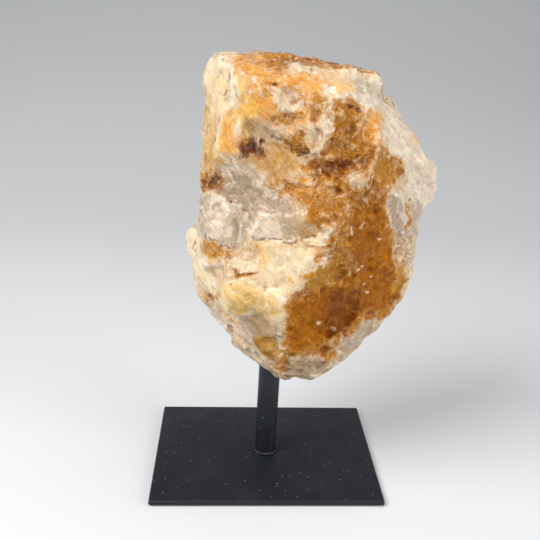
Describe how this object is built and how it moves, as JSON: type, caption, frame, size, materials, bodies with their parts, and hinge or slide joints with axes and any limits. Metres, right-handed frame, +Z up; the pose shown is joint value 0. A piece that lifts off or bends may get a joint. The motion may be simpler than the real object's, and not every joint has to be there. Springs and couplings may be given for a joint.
{
  "type": "golden healer quartz on a metal stand",
  "caption": "Rough chunk of golden, iron-stained milky quartz held upright on a round black steel post that is welded to a flat rectangular base plate.",
  "frame": {"origin": "centre of the base plate's flat underside", "axes": "+Z up along the stand, +X to the right and -Y towards the viewer when the stone's orange and grey front face is seen"},
  "size_m": [0.1458, 0.1019, 0.2278],
  "materials": {
    "quartz": "rough broken milky quartz with orange-brown iron stain and cream, grey and yellow areas",
    "post": "satin black paint",
    "base_plate": "satin black paint with light dust"
  },
  "bodies": {
    "root": {"quartz": "quartz", "post": "post", "base_plate": "base_plate"}
  },
  "joints": []
}
